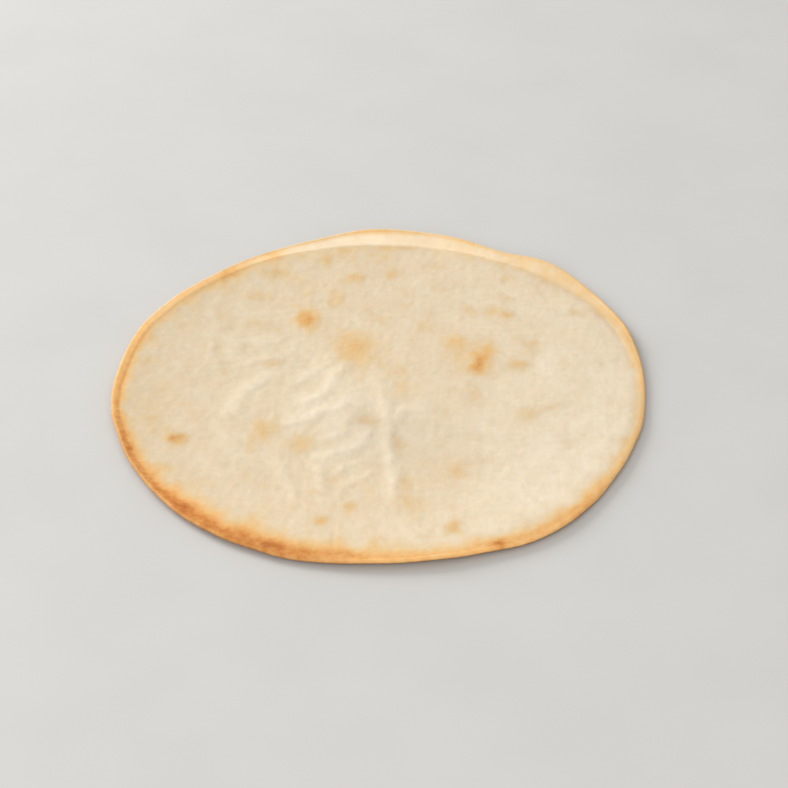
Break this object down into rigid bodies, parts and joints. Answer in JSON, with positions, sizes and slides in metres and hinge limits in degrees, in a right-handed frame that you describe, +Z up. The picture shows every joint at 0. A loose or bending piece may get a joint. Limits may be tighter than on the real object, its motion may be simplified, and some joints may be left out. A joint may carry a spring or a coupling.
{
  "type": "pizza crust",
  "caption": "Thin round baked pizza crust, flat underneath, with a narrow uneven lip that turns up highest at the rear and folds and blisters in its pale top.",
  "frame": {"origin": "middle of the crust's outline, on the plane of its flat underside", "axes": "+Z up, out of the pale top; +Y towards the rear, where the lip stands tallest; +X to the right as the picture shows it"},
  "size_m": [0.2546, 0.2556, 0.0086],
  "materials": {
    "baked_dough": "matte"
  },
  "bodies": {
    "root": {"crust": "baked_dough"}
  },
  "joints": []
}
